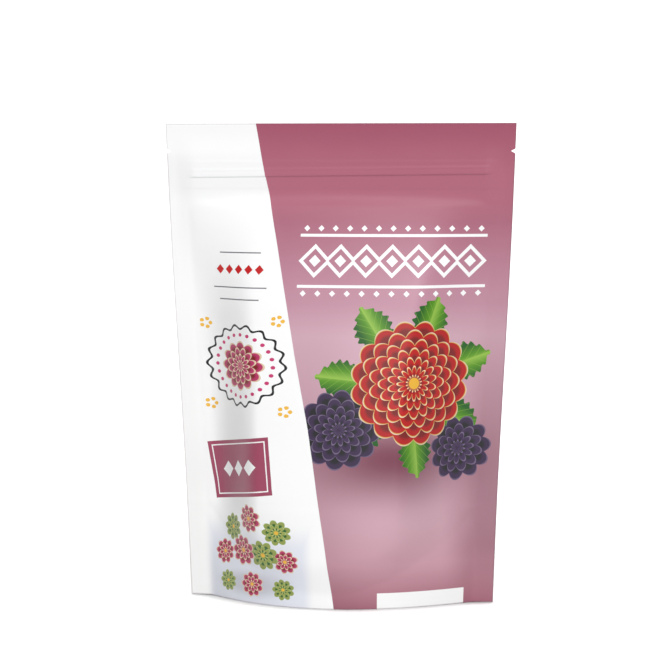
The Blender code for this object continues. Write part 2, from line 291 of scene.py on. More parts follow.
world = bpy.data.worlds.new("studio")
bpy.context.scene.world = world
world.use_nodes = True
world_tree = world.node_tree
direction = Field(world_tree, world_tree.nodes.new("ShaderNodeTexCoord").outputs["Generated"])
axes = new_node(world_tree, "ShaderNodeSeparateXYZ", Vector=direction)
upward = Field(world_tree, axes.outputs["Z"]) / 2 + 0.5
sideways = abs(Field(world_tree, axes.outputs["X"]))
front_sky = blend_colours(upward, sky_stops(0.80, 1.0, 0.57))
side_sky = blend_colours(upward, sky_stops(0.30, 1.0, 0.10))
background = world_tree.nodes["Background"]
feed(world_tree, background.inputs["Color"], paint(front_sky, sideways, side_sky))
background.inputs["Strength"].default_value = SKY_STRENGTH

floor_bm = bmesh.new()
bmesh.ops.create_grid(floor_bm, x_segments=1, y_segments=1, size=FLOOR_SIZE / 2)
bmesh.ops.translate(floor_bm, verts=floor_bm.verts, vec=(0.0, 0.0, -FLOOR_DROP))
floor = shown("floor", floor_bm)
floor.data.materials.append(new_material("studio_floor", floor_look))
floor.visible_diffuse = False

for name, strength, azimuth, elevation in SUNS:
    sun = bpy.data.lights.new(name, "SUN")
    sun.energy = strength
    sun.angle = math.radians(SUN_SPREAD)
    lamp = bpy.data.objects.new(name, sun)
    swing = Matrix.Rotation(math.radians(azimuth), 4, "Z")
    lamp.matrix_world = swing @ Matrix.Rotation(math.radians(90.0 - elevation), 4, "X")
    bpy.context.scene.collection.objects.link(lamp)
print("studio: white world, floor", FLOOR_SIZE, "m wide,", len(SUNS), "soft suns")

# %% [markdown]
# ## The pouch's form
# Film doesn't stretch: where the walls move apart, the side seals move in. So the form is a few rules on
# where a point of the wall lies for its height z and its place x across. The side seals stay flat, the wall
# between them arches out, and the bottom seal curves up to the sides, where the web is folded. Rules can be
# sampled as finely as a mesh needs.

# %% Outline and seals
WIDTH = 150 * MM
HEIGHT = 200 * MM
BASE_SIDE_PULL = 10.1 * MM
SIDE_CURVE = 0.03
SIDE_SEAL = 8.8 * MM
BASE_HALF_DEPTH = 31.2 * MM
PILLOW_TOP = HEIGHT - 30.0 * MM
GUSSET_FOLD = 40.0 * MM
GUSSET_SEAL = 6.0 * MM
SEAL_CURVE = 2.2
CORNER_LIFT = 0.3 * MM
LIFT_START = 0.4
SEAL_EDGE_U = 1.0 - SIDE_SEAL / (WIDTH / 2)


def smoothstep(low, high, value):
    t = min(1.0, max(0.0, (value - low) / (high - low)))
    return t * t * (3.0 - 2.0 * t)


def spread(low, high, steps):
    return [low + (high - low) * i / steps for i in range(steps + 1)]


def half_width(z):
    """Half the pouch's width at a height: the filled base pulls the side seals in."""
    drop = 1.0 - z / HEIGHT
    return WIDTH / 2 - BASE_SIDE_PULL * (drop - SIDE_CURVE * math.sin(2.0 * math.pi * drop))


def seal_height(x, z):
    """The upper edge of the bottom seal: low in the middle, up to the web's fold at the sides."""
    share = min(1.0, abs(x) / (half_width(z) - SIDE_SEAL))
    return GUSSET_SEAL + (GUSSET_FOLD - GUSSET_SEAL) * share**SEAL_CURVE


def corner_lift(u):
    """How far the rim rises off the floor towards the pouch's sides."""
    return CORNER_LIFT * max(0.0, (abs(u) - LIFT_START) / (1.0 - LIFT_START)) ** 2


print("width at the top and at the floor, mm:", *(round(half_width(z) * 2000, 1) for z in (HEIGHT, 0.0)))

# %% [markdown]
# ## How far the walls stand out
# Cut across, a filled pouch is no plain ellipse. The film rests on the fruit, so its middle is broad and
# its flanks are steep. At the rim and under the zipper the film is held, and the section is a round arch.
# The rules blend the two by height.

# %% How far a wall stands out
SEAL_EDGE_SOFTNESS = 0.06
PILLOW_FALL = 0.85
PILLOW_BELLY = 0.10
PILLOW_START = 0.03
PILLOW_CORNER = 9.0 * MM
FLANK_HALF = 0.23
FLANK_LOW = 0.72
FLANK_HIGH = 0.77
FLANK_RISE_START = 90 * MM
FLANK_RISE_END = 140 * MM
BOX_DOME = 0.40
BOX_START = 8 * MM
BOX_FULL_LOW = 50 * MM
BOX_FULL_HIGH = 125 * MM
SWELL = 1.8 * MM
SWELL_REACH = 14.0 * MM
EDGE_LIFT = 0.7 * MM
EDGE_LIFT_REACH = 4.0 * MM
EDGE_LIFT_START = 5.0 * MM


def centre_depth(z):
    """How far the wall stands out on its centre line."""
    q = z / PILLOW_TOP
    left = (1.0 - q * q + math.hypot(1.0 - q * q, PILLOW_START)) / 2
    return BASE_HALF_DEPTH * left**PILLOW_FALL * (1.0 + PILLOW_BELLY * q * (1.0 - q) ** 2)


def chamber_inset(x, z):
    """Distance inside the filled chamber's outline: side seals, rounded top corners and bottom seal."""
    over_x = abs(x) - (half_width(z) - SIDE_SEAL - PILLOW_CORNER)
    over_z = z - (PILLOW_TOP - PILLOW_CORNER)
    outside = math.hypot(max(over_x, 0.0), max(over_z, 0.0)) + min(max(over_x, over_z), 0.0)
    return min(PILLOW_CORNER - outside, z - seal_height(x, z))


def arch_share(x, z):
    """The wall's section, 1 on the centre line: a round arch at rim and top, and steep flanks between."""
    q = abs(x) / (half_width(z) - SIDE_SEAL)
    lift = 1.0 - q * q
    round_arch = min(1.0, (lift + math.sqrt(lift * lift + SEAL_EDGE_SOFTNESS**2)) / 2)
    flank = FLANK_LOW + (FLANK_HIGH - FLANK_LOW) * smoothstep(FLANK_RISE_START, FLANK_RISE_END, z)
    box_arch = (1.0 - BOX_DOME * q * q) * (1.0 - smoothstep(flank - FLANK_HALF, flank + FLANK_HALF, q))
    boxed = smoothstep(BOX_START, BOX_FULL_LOW, z) * (1.0 - smoothstep(BOX_FULL_HIGH, PILLOW_TOP, z))
    return round_arch + (box_arch - round_arch) * boxed


def pillow_depth(x, z):
    """The arch between the side seals, swelling out of the seals round it."""
    arch = arch_share(x, z)
    fade = max(0.0, 1.0 - (z / PILLOW_TOP) ** 2)
    swell = SWELL * smoothstep(0.0, SWELL_REACH, z - seal_height(x, z)) * arch * fade
    edge = EDGE_LIFT * (1.0 - math.exp(-max(0.0, chamber_inset(x, z)) / EDGE_LIFT_REACH))
    return centre_depth(z) * arch + swell + edge * smoothstep(0.0, EDGE_LIFT_START, PILLOW_TOP - z)


heights = (0, 40, 80, 120, 160)
print("the wall stands out, mm:", *(round(pillow_depth(0.0, z * MM) * 1000, 1) for z in heights))

# %% [markdown]
# ## Layers under the film
# At the bottom the web lies between the walls, and near the top lie the zipper's tapes and its closed
# track. The film drapes over them, with small ledges where the lock's edges press through. They show as
# lines through a real pouch's print, so they are formed here and not drawn.

# %% Film layers over the zipper and the web
FILM = 0.14 * MM
HAIRLINE = 0.01 * MM
ZIPPER_Z = HEIGHT - 22.1 * MM
TAPE_TOP = HEIGHT - 16.1 * MM
TAPE_BOTTOM = HEIGHT - 26.8 * MM
TAPE_STEP = 0.10 * MM
TAPE_STEP_EASE = 1.0 * MM
WEB_STEP_EASE = 2.0 * MM
TRACK_OUT = 1.38 * MM
TRACK_HALF = 1.7 * MM
TRACK_REACH_UP = 18.0 * MM
TRACK_REACH_DOWN = 45.0 * MM
# Ledges that press through over the lock: height above it, rise, reach upwards and reach downwards, in mm
LEDGES = [(0.5, 0.36, 4.0, 0.7), (3.1, 0.10, 0.9, 0.7)]
LEDGE_END = 63.5 * MM
LEDGE_EASE = 1.0 * MM
LEDGE_TILT = 0.012
ZIPPER_END = 62.0 * MM
ZIPPER_END_EASE = 9.0 * MM


def over_zipper(x, z):
    """The film drapes widely over the closed track, with crisp ledges where rib and groove lock."""
    off = abs(z - ZIPPER_Z)
    reach = TRACK_REACH_UP if z > ZIPPER_Z else TRACK_REACH_DOWN
    rise = TRACK_OUT * smoothstep(reach, TRACK_HALF, off)
    ledges = 0.0
    for height, out, upwards, downwards in LEDGES:
        above = (z - ZIPPER_Z - LEDGE_TILT * x) / MM - height
        ledges += out * MM * smoothstep(upwards, 0.0, above) * smoothstep(-downwards, 0.0, above)
    ledges *= smoothstep(LEDGE_END + LEDGE_EASE, LEDGE_END, abs(x))
    over_tape = smoothstep(TAPE_BOTTOM - TAPE_STEP_EASE, TAPE_BOTTOM, z)
    rise += TAPE_STEP * over_tape * smoothstep(TAPE_TOP + TAPE_STEP_EASE, TAPE_TOP, z)
    return ledges + rise * smoothstep(ZIPPER_END + ZIPPER_END_EASE, ZIPPER_END, abs(x))


def layers(x, z):
    """What lies between the middle plane and a wall's inner face: web film below, zipper tape above."""
    web = (FILM + HAIRLINE) * smoothstep(GUSSET_FOLD + WEB_STEP_EASE, GUSSET_FOLD, z)
    return HAIRLINE / 2 + web + over_zipper(x, z)


print("wall over the zipper's track, mm:", round(layers(0.0, ZIPPER_Z) * 1000, 2))

# %% [markdown]
# ## Small relief
# What tells film from a smooth balloon is small: puckers beside the heat seals, soft lumps where fruit
# presses, and a few creases. A noise texture alone would put them everywhere, so short rules place each
# kind where it belongs.

# %% Puckers, lumps and creases
LUMP_SIZE = 30.0 * MM
LUMP_RISE = 0.40 * MM
LUMP_INSET = 14.0 * MM
LUMP_FADE = 45.0 * MM
PUCKER_SIZE = 5.0 * MM
PUCKER_STRETCH = 0.25
PUCKER_RISE = 0.16 * MM
PUCKER_REACH = 6.0 * MM
PUCKER_INSET = 4.0 * MM
SEAL_WAVE = 0.05 * MM
SEAL_WAVE_SIZE = 9.0 * MM
SEAL_WAVE_EASE = 2.0 * MM
CREASE_END = 0.35
CREASE_INSET = 3.0 * MM
# Each crease: both ends in mm (x, z), its half width and its rise in mm
FRONT_CREASES = [
    ((7.0, 6.5), (26.0, 13.0), 1.3, 0.16),
    ((62.0, 121.0), (66.0, 129.0), 1.2, 0.10),
    ((-54.0, 34.0), (-30.0, 19.0), 2.0, 0.14),
    ((60.0, 37.0), (48.0, 24.0), 1.8, 0.22),
    ((-30.0, 166.0), (-24.0, 152.0), 1.6, 0.12),
]
BACK_CREASES = [
    ((-58.0, 38.0), (-38.0, 22.0), 1.8, 0.20),
    ((50.0, 30.0), (24.0, 14.0), 1.6, 0.16),
    ((36.0, 165.0), (28.0, 148.0), 1.6, 0.14),
]


def ripple(x, z, size, seed):
    """Smooth unevenness between -1 and 1 that changes over about size."""
    return noise.noise(Vector((x / size, z / size, seed)))


def crease_rise(x, z, creases):
    """A soft ridge along each crease that runs out at its ends."""
    total = 0.0
    for start, end, half, rise in creases:
        a, b = Vector(start) * MM, Vector(end) * MM
        along = (Vector((x, z)) - a).dot(b - a) / (b - a).length_squared
        t = min(1.0, max(0.0, along))
        away = (Vector((x, z)) - a.lerp(b, t)).length / (half * MM)
        fullness = CREASE_END + (1.0 - CREASE_END) * math.sin(math.pi * t)
        total += rise * MM * math.exp(-away * away) * fullness
    return total


def relief(x, z, seed, creases):
    """Everything small that lifts a wall: lumps, puckers, the seals' waves and creases."""
    inset = chamber_inset(x, z)
    room = smoothstep(0.0, LUMP_INSET, inset) * smoothstep(PILLOW_TOP, PILLOW_TOP - LUMP_FADE, z)
    lumps = LUMP_RISE * ripple(x, z, LUMP_SIZE, seed) * room
    from_side = half_width(z) - SIDE_SEAL - abs(x)
    near = max(0.0, from_side) / PUCKER_REACH
    pucker = PUCKER_RISE * ripple(x * PUCKER_STRETCH, z, PUCKER_SIZE, seed + 7.0)
    pucker *= near * math.exp(1.0 - near)
    pucker *= smoothstep(0.0, PUCKER_INSET, inset)
    wave = SEAL_WAVE * (1.0 + ripple(x, z, SEAL_WAVE_SIZE, seed + 3.0))
    wave *= smoothstep(0.0, -SEAL_WAVE_EASE, from_side)
    return lumps + pucker + wave + crease_rise(x, z, creases) * smoothstep(0.0, CREASE_INSET, inset)


def wall_y(x, z, seed, creases):
    """Distance from the middle plane to a wall's printed face."""
    return FILM + layers(x, z) + pillow_depth(x, z) + relief(x, z, seed, creases)


print("creases:", len(FRONT_CREASES), "in front,", len(BACK_CREASES), "at the back")

# %% [markdown]
# ## Film as a mesh
# Film is flat before it is filled, so each wall starts as a flat grid, and every grid point moves to its
# place in the standing pouch. A UV map named film remembers where it was on the flat sheet, so the print
# can't slide or stretch. It is measured along the film from the inner edge of a side seal, so a notch cuts
# the print and doesn't squeeze it. A Solidify modifier adds the thickness, with slots of their own for
# lining and cut edge.

# %% A flat grid laid into shape
FILM_UV = "film"
# Material slots of a sheet, after the print in slot 0
LINING_SLOT = 1
EDGE_SLOT = 2
SEAL_STEPS = 9


def lay_film(name, columns, rows, place, flat_height, print_turned=False, faces_turned=False):
    """A sheet whose point in column i and row j lies at place(columns[i], rows[j])."""
    points = [[Vector(place(u, row)) for u in columns] for row in rows]
    arcs = []
    for line in points:
        steps = [(b - a).length for a, b in zip(line, line[1:])]
        arc = np.concatenate([[0.0], np.cumsum(steps)])
        chamber = arc[-1 - SEAL_STEPS] - arc[SEAL_STEPS]
        arcs.append((arc - arc[SEAL_STEPS] + SIDE_SEAL) / (chamber + 2 * SIDE_SEAL))
    heights = [flat_height(row) for row in rows]
    across, up = len(columns) - 1, len(rows) - 1
    bm = bmesh.new()
    bmesh.ops.create_grid(bm, x_segments=across, y_segments=up, size=1.0)
    uv = bm.loops.layers.uv.new(FILM_UV)
    for vert in bm.verts:
        i = round((vert.co.x + 1.0) / 2.0 * across)
        j = round((vert.co.y + 1.0) / 2.0 * up)
        vert.co = points[j][i]
        share = 1.0 - arcs[j][i] if print_turned else arcs[j][i]
        for loop in vert.link_loops:
            loop[uv].uv = (share, heights[j])
    if faces_turned:
        bmesh.ops.reverse_faces(bm, faces=bm.faces)
    for face in bm.faces:
        face.smooth = True
    for edge in bm.edges:
        edge.smooth = not edge.is_boundary
    sheet = shown(name, bm)
    solidify = sheet.modifiers.new("film_thickness", "SOLIDIFY")
    solidify.thickness = FILM
    solidify.offset = -1.0
    solidify.use_even_offset = True
    solidify.material_offset = LINING_SLOT
    solidify.material_offset_rim = EDGE_SLOT
    return sheet


print("film:", round(FILM * 1000, 2), "mm thick")

# %% [markdown]
# ## Where the grid is fine
# Rows are close together only over the zipper's ledges and at the tear notches. A boolean would cut a notch
# with ragged faces. Here the ends of the rows are pulled in, and rows lie on the notch's corners, so they
# stay sharp.

# %% Grid lines: finer at the zipper and the notches
NOTCH_Z = HEIGHT - 11.6 * MM
NOTCH_DEPTH = 1.9 * MM
NOTCH_HALF = 1.0 * MM
INNER_STEPS = 116
# Bands of rows from the floor up: the height where each one ends, and its number of steps
ROW_BANDS = [
    (165 * MM, 132),
    (175 * MM, 24),
    (180 * MM, 25),
    (186 * MM, 14),
    (NOTCH_Z - NOTCH_HALF, 3),
    (NOTCH_Z + NOTCH_HALF, 6),
    (HEIGHT, 10),
]


def wall_x(u, z):
    """Where a column lies at a height: side seals keep their width, and the notches bite into their edges."""
    inner = half_width(z) - SIDE_SEAL
    if abs(u) <= SEAL_EDGE_U:
        return inner * u / SEAL_EDGE_U
    bite = NOTCH_DEPTH * max(0.0, 1.0 - abs(z - NOTCH_Z) / NOTCH_HALF)
    share = (abs(u) - SEAL_EDGE_U) / (1.0 - SEAL_EDGE_U)
    return math.copysign(inner + (SIDE_SEAL - bite) * share, u)


columns = (
    spread(-1.0, -SEAL_EDGE_U, SEAL_STEPS)
    + spread(-SEAL_EDGE_U, SEAL_EDGE_U, INNER_STEPS)[1:]
    + spread(SEAL_EDGE_U, 1.0, SEAL_STEPS)[1:]
)
rows = [0.0]
band_start = 0.0
for band_end, steps in ROW_BANDS:
    rows += spread(band_start, band_end, steps)[1:]
    band_start = band_end
print("grid:", len(columns), "x", len(rows), "points")

# %% [markdown]
# ## The two walls
# Both walls follow the same rules, mirrored through the middle plane. Each has its own lumps and creases,
# because no two sides of a real pouch crumple alike.

# %% Front and back walls
FRONT_SEED = 2.0
BACK_SEED = 31.0


def wall_place(facing, seed, creases):
    """The rule that lays one wall: facing is -1 for the front and 1 for the back."""

    def place(u, z):
        x = wall_x(u, z)
        lift = corner_lift(u) * (1.0 - z / HEIGHT)
        return x, facing * wall_y(x, z, seed, creases), z + lift

    return place


def wall_flat(z):
    return z / HEIGHT


front_place = wall_place(-1, FRONT_SEED, FRONT_CREASES)
back_place = wall_place(1, BACK_SEED, BACK_CREASES)
front_film = lay_film("front_film", columns, rows, front_place, wall_flat)
back_film = lay_film("back_film", columns, rows, back_place, wall_flat, print_turned=True, faces_turned=True)
for wall, node in ((front_film, "front_panel"), (back_film, "back_panel")):
    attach(wall, "root")
    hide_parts(node)
    print(wall.name, "has", len(wall.data.polygons), "faces before it is thickened")

# %% [markdown]
# ## The web at the bottom
# The web is a strip of the same film, folded up into the pouch like a W. Its two edges are sealed to the
# walls, and the rest opens into a floor: flat on the table, and rising along a crease to each side seal. It
# is laid like the walls, from the front wall's rim up its seal, across the floor and down to the back
# wall's rim.

# %% The gusset web
GUSSET_RIM = 1.0 * MM
SLOPE_STEP = 0.5 * MM
WEB_SLACK = 1.05
SEAL_ROW_TOP = 34 * MM
FLANGE_STEPS = 12
WEB_STEPS = 26
BELLY_END = 0.30
CREASE_START = 0.95
BELLY_SHAPE = 2.0
CREASE_SHAPE = 1.15
BELLY_SAG = 1.5
BELLY_TRIM = 0.4 * MM
WEB_RIPPLE = 1.0 * MM
WEB_RIPPLE_SIZE = 16 * MM
WEB_SEED = 11.0


def inner_y(x, z):
    """Distance from the middle plane to a wall's inner face, without its small relief."""
    return layers(x, z) + pillow_depth(x, z)


def steepness(x, z):
    """How much longer a wall's slope makes a step square to it than one along Y."""
    across = (inner_y(x + SLOPE_STEP, z) - inner_y(x - SLOPE_STEP, z)) / (2 * SLOPE_STEP)
    up = (inner_y(x, z + SLOPE_STEP) - inner_y(x, z - SLOPE_STEP)) / (2 * SLOPE_STEP)
    return math.sqrt(1.0 + across**2 + up**2)


def web_point(u, along):
    """A point of the web's outer face, at a distance along the film from its rim to its fold."""
    seal_z = seal_height(wall_x(u, 0.0), 0.0)
    z = min(along, seal_z)
    x = wall_x(u, z)
    reach = max(HAIRLINE / 2, inner_y(x, z) - (FILM + HAIRLINE) * WEB_SLACK * steepness(x, z))
    if along <= seal_z:
        return x, reach, z
    web = GUSSET_FOLD - seal_z
    crease_z = min(GUSSET_FOLD, seal_z + math.sqrt(max(0.0, web**2 - reach**2)))
    belly_z = max(0.0, seal_z - math.sqrt(BELLY_SAG * reach * max(0.0, web - reach)))
    rise = smoothstep(BELLY_END, CREASE_START, abs(u) / SEAL_EDGE_U)
    middle_z = belly_z + (crease_z - belly_z) * rise
    shape = BELLY_SHAPE + (CREASE_SHAPE - BELLY_SHAPE) * rise
    t = max(0.0, (GUSSET_FOLD - along) / web)
    z = middle_z + (seal_z - middle_z) * t**shape - BELLY_TRIM * (1.0 - rise)
    z += WEB_RIPPLE * ripple(x, reach * t, WEB_RIPPLE_SIZE, WEB_SEED) * rise * (1.0 - t)
    return x, reach * t, max(0.0, z)


def web_row_along(u, share):
    """Distance along the film of a row: share runs 0 to 1 up the seal, and on to 2 at the fold."""
    line = min(SEAL_ROW_TOP, seal_height(wall_x(u, 0.0), 0.0))
    if share <= 1.0:
        return GUSSET_RIM + (line - GUSSET_RIM) * share
    return line + (GUSSET_FOLD - line) * (share - 1.0)


def web_place(u, row):
    """A row is a side, -1 or 1, and a share as above."""
    side, share = row
    x, y, z = web_point(u, web_row_along(u, share))
    return x, side * y, z + corner_lift(u)


def web_flat(row):
    side, share = row
    return 0.5 + side * (2.0 - share) / 4.0


shares = spread(0.0, 1.0, FLANGE_STEPS) + spread(1.0, 2.0, WEB_STEPS)[1:]
web_rows = [(-1, share) for share in shares] + [(1, share) for share in reversed(shares[:-1])]
web_film = lay_film("web_film", columns, web_rows, web_place, web_flat, faces_turned=True)
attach(web_film, "root")
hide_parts("bottom_gusset")
print("web:", len(web_film.data.polygons), "faces before it is thickened")

# %% [markdown]
# ## Inks
# A colour picked from a photo holds the studio's light as well as the ink. White film comes out at about
# 1.06 times its own colour here, plus a weak reflection, so both are taken off before a colour is used as
# an ink.

# %% Colours of the print
STUDIO_GAIN = 1.06
STUDIO_GLARE = 0.030


def ink(red, green, blue):
    """The ink that shows as this screen colour (0 to 255) in the studio's light."""
    linear = [((c / 255 + 0.055) / 1.055) ** 2.4 if c > 10 else c / 255 / 12.92 for c in (red, green, blue)]
    return (*(max(0.002, (c - STUDIO_GLARE) / STUDIO_GAIN) for c in linear), 1.0)


WHITE_INK = (0.86, 0.86, 0.86, 1.0)
# Whites greyed for painted shade: low on the left seal, and over the zipper's tape
PAINTED_SHADE_WHITE = (0.765, 0.765, 0.76, 1.0)
TAPE_SHADE_WHITE = ink(244, 244, 245)
PLUM = ink(158, 80, 102)
# Deep plum for painted shade at the sides and for the flowers' printed shadow
SHADE_AND_SHADOW_PLUM = ink(112, 48, 70)
CRIMSON = ink(196, 42, 52)
CRIMSON_DARK = ink(126, 22, 36)
CREAM = ink(250, 232, 200)
GOLD = ink(238, 186, 74)
LEAF = ink(92, 146, 46)
LEAF_DARK = ink(48, 96, 34)
LEAF_LIGHT = ink(150, 190, 84)
AUBERGINE = ink(74, 60, 88)
AUBERGINE_DARK = ink(44, 34, 52)
AUBERGINE_LIGHT = ink(128, 112, 142)
PINK = ink(198, 70, 118)
OLIVE = ink(168, 172, 98)
LAVENDER = ink(228, 230, 240)
SOFT_GREY = ink(120, 118, 124)
# Height up the pouch as a share, and the background's colour there: partly the print's own blend and partly
# painted light, darker at the header and the base and paler across the bulge
MAUVE_BLEND = [
    (0.000, ink(163, 107, 122)),
    (0.035, ink(179, 127, 141)),
    (0.090, ink(202, 156, 169)),
    (0.170, ink(208, 168, 181)),
    (0.560, ink(210, 172, 186)),
    (0.625, ink(194, 147, 164)),
    (0.795, ink(171, 107, 126)),
    (0.845, ink(175, 106, 123)),
    (0.900, ink(174, 104, 122)),
    (1.000, ink(162, 86, 107)),
]
print("mauve at the top of the pouch:", tuple(round(c, 3) for c in MAUVE_BLEND[-1][1][:3]))

# %% [markdown]
# ## Motifs
# The print is a generic set of motifs: flowers, leaves, a band of diamonds, a scalloped badge and thin
# rules. Pictures of them would blur in close views, so each one is a formula around its own centre: 1
# inside the motif and 0 outside. To turn or stretch a motif, the coordinates are changed first.

# %% Plain shapes
def at(place, x, y):
    """Coordinates measured from another centre."""
    return place[0] - x, place[1] - y


def slanted(place, degrees):
    """Coordinates turned anticlockwise about their centre."""
    x, y = place
    c, s = math.cos(math.radians(degrees)), math.sin(math.radians(degrees))
    return x * c + y * s, y * c - x * s


def widened(place, ratio):
    """Coordinates in which a motif comes out wider than it is tall."""
    return place[0] / ratio, place[1]


def disc(place, radius):
    return distance(*place).below(radius)


def block(place, width, height):
    return abs(place[0]).below(width / 2) * abs(place[1]).below(height / 2)


def outline_of_block(place, width, height, line):
    return block(place, width, height) - block(place, width - 2 * line, height - 2 * line)


def diamonds(place, count, pitch, size):
    """A row of whole diamonds along x, with one in the middle: the count is odd."""
    x, y = place
    last = (count - 1) / 2
    nearest = (x / pitch - 0.5).ceiling().most(-last).least(last)
    return (abs(x - nearest * pitch) + abs(y)).below(size)


def scallops(place, radius, count, depth):
    """A disc with a wavy rim."""
    x, y = place
    rim = (turns(x, y) * (2 * math.pi * count)).cosine() * depth + radius
    return distance(x, y).below(rim)


def ring_of_dots(place, radius, count, dot):
    x, y = place
    along = (turns(x, y) * count).folded(1.0) * (2 * math.pi * radius / count)
    return distance(along, distance(x, y) - radius).below(dot)


print("plain shapes: disc, block, diamonds, scallops and a ring of dots")

# %% [markdown]
# ## Flowers and leaves
# A dahlia is a set of rings of round petals, and every second ring is turned by half a petal. Folding the
# direction round the centre makes a whole ring out of one petal, and rounding the distance up finds the
# ring that a point belongs to. Drawn singly, the petals would take hundreds of shapes. Leaves are folded in
# the same way.

# %% Dahlias and leaves
PETAL_EDGE_SHADE = 0.12
OUTER_SHADE = 0.30
LEAF_LOBES = 7
LOBE_DEPTH = 0.05
VEIN_PITCH = 3.6
VEIN_SLANT = 1.1
VEIN_HALF = 0.16
MIDRIB_HALF = 0.24
LEAF_COLOURS = [(0.0, LEAF_LIGHT), (0.45, LEAF), (1.0, LEAF_DARK)]
# Colours of a petal from its edge inwards
CRIMSON_PETALS = [(0.09, CREAM), (0.16, GOLD), (0.24, CRIMSON), (0.62, CRIMSON), (1.0, CRIMSON_DARK)]
AUBERGINE_PETALS = [(0.12, AUBERGINE_LIGHT), (0.22, AUBERGINE), (0.6, AUBERGINE), (1.0, AUBERGINE_DARK)]
PINK_PETALS = [(0.20, CREAM), (0.32, PINK), (0.60, PINK), (1.0, CRIMSON_DARK)]
OLIVE_PETALS = [(0.0, CREAM), (0.15, LEAF_LIGHT), (0.3, OLIVE), (0.7, OLIVE), (1.0, LEAF_DARK)]


def petal_bow(turn, notch):
    """How far a ring's edge falls back: nothing in a petal's middle, notch between two petals."""
    return (abs(turn.folded(1.0)) * 2).to_power(2.0) * notch


def dahlia(under, place, petals, rings, step, notch, colours):
    """Paints rings of petals, each ring step wide. Inner rings lie over outer ones."""
    x, y = place
    r = distance(x, y)
    turn = turns(x, y) * petals
    even_bow = petal_bow(turn, notch)
    odd_bow = petal_bow(turn + 0.5, notch)
    even_ring = ((r + even_bow) / (2 * step)).ceiling() * 2
    odd_ring = ((r + odd_bow - step) / (2 * step)).ceiling() * 2 + 1
    ring = even_ring.least(odd_ring)
    is_odd = odd_ring.below(even_ring)
    bow = even_bow + (odd_bow - even_bow) * is_odd
    inward = (ring * step - bow - r) / step
    petal = blend_colours(inward + (bow / notch) * PETAL_EDGE_SHADE, colours)
    outward = (r / (rings * step)).eased(0.0, 1.1)
    petal = paint(petal, outward * OUTER_SHADE, colours[-1][1])
    return paint(under, ring.below(rings + 0.5), petal)


def leaf_whorl(under, place, count, start, length, width):
    """Paints leaves like spokes, each with a midrib and side veins."""
    x, y = place
    r = distance(x, y)
    angle = (turns(x, y) * count).folded(1.0) * (2 * math.pi / count)
    along = (r * angle.cosine() - start) / length
    across = r * angle.sine()
    half = along * (1.0 - along) * (2 * width)
    lobes = (along * (2 * math.pi * LEAF_LOBES)).cosine() * (width * LOBE_DEPTH)
    veins = abs((along * length - abs(across) * VEIN_SLANT).folded(VEIN_PITCH)).below(VEIN_HALF)
    darker_side = across.above(0.0) * 0.25
    blade = blend_colours(abs(across) / (width * 0.5) + darker_side, LEAF_COLOURS)
    blade = paint(blade, veins * 0.45, LEAF_LIGHT)
    blade = paint(blade, abs(across).below(MIDRIB_HALF) * 0.8, LEAF_LIGHT)
    return paint(under, (abs(across) - lobes).below(half), blade)


print("flowers: dahlias in crimson, aubergine, pink and olive, and leaf whorls")

# %% [markdown]
# ## The front's print
# A white block and a mauve block meet along a slanted line that bends slightly towards the base. The mauve
# is deep at the header, pale behind the flowers and deep again at the base. Sizes are in millimetres on the
# flat film, from the middle of its width and from its bottom edge, as a print designer would draw it.

# %% Grounds and repeated groups
FLAT_WIDTH = 150.0
FLAT_HEIGHT = 200.0
# Width, strength and colour of the painted shade along the cut edges
EDGE_LINE = 0.6
EDGE_PAINTED_SHADE = 0.42
EDGE_SHADE_GREY = ink(120, 92, 102)
SPLIT_CURVE = (2.969e-8, -9.005e-6, 3.056e-4, -0.13585, 3.741)
DIAMOND_COUNT = 7
DIAMOND_PITCH = 11.0
BAND_RULE = 10.5
BAND_LENGTH = 79.8
RULE_WIDTH = 0.5


def film_place(tree):
    """Millimetres across the flat film from its middle, and up from its bottom edge."""
    place, across, up = uv_place(tree, FILM_UV)
    return across * FLAT_WIDTH - FLAT_WIDTH / 2, up * FLAT_HEIGHT


def split_line(height):
    """Where the white block ends: a smooth curve fitted to points measured in the photo."""
    curve = height * SPLIT_CURVE[0]
    for term in SPLIT_CURVE[1:-1]:
        curve = (curve + term) * height
    return curve + SPLIT_CURVE[-1]


def painted_edge_shade(colour, place):
    """A thin painted shade along the film's cut edges, darker than the print beside it."""
    x, y = place
    side = (abs(x) + EDGE_LINE - FLAT_WIDTH / 2).eased(0.0, EDGE_LINE)
    end = (abs(y - FLAT_HEIGHT / 2) + EDGE_LINE - FLAT_HEIGHT / 2).eased(0.0, EDGE_LINE)
    return paint(colour, side.most(end) * EDGE_PAINTED_SHADE, EDGE_SHADE_GREY)


def diamond_band(colour, place):
    """Outlined diamonds, each with a small one in it, between two lines."""
    whole, hollow, core = (diamonds(place, DIAMOND_COUNT, DIAMOND_PITCH, size) for size in (7.0, 5.0, 2.5))
    colour = paint(colour, whole - hollow, WHITE_INK)
    colour = paint(colour, core, WHITE_INK)
    for offset in (-BAND_RULE, BAND_RULE):
        colour = paint(colour, block(at(place, 0, offset), BAND_LENGTH, 1.2), WHITE_INK)
    return colour


def badge(colour, place, radius, line, dots, dot, step, notch):
    """A scalloped disc with an outline, a ring of dots and a small dahlia."""
    colour = paint(colour, scallops(place, radius, 18, 0.8), AUBERGINE_DARK)
    colour = paint(colour, scallops(place, radius - line, 18, 0.8), WHITE_INK)
    colour = paint(colour, ring_of_dots(place, dots, 24, dot), PINK)
    return dahlia(colour, place, 12, 4, step, notch, PINK_PETALS)


def thin_rules(colour, place, rules):
    """Thin level lines: each rule is a height and a length."""
    for height, length in rules:
        colour = paint(colour, block(at(place, 0, height), length, RULE_WIDTH), SOFT_GREY)
    return colour


print("flat film:", FLAT_WIDTH, "x", FLAT_HEIGHT, "mm")

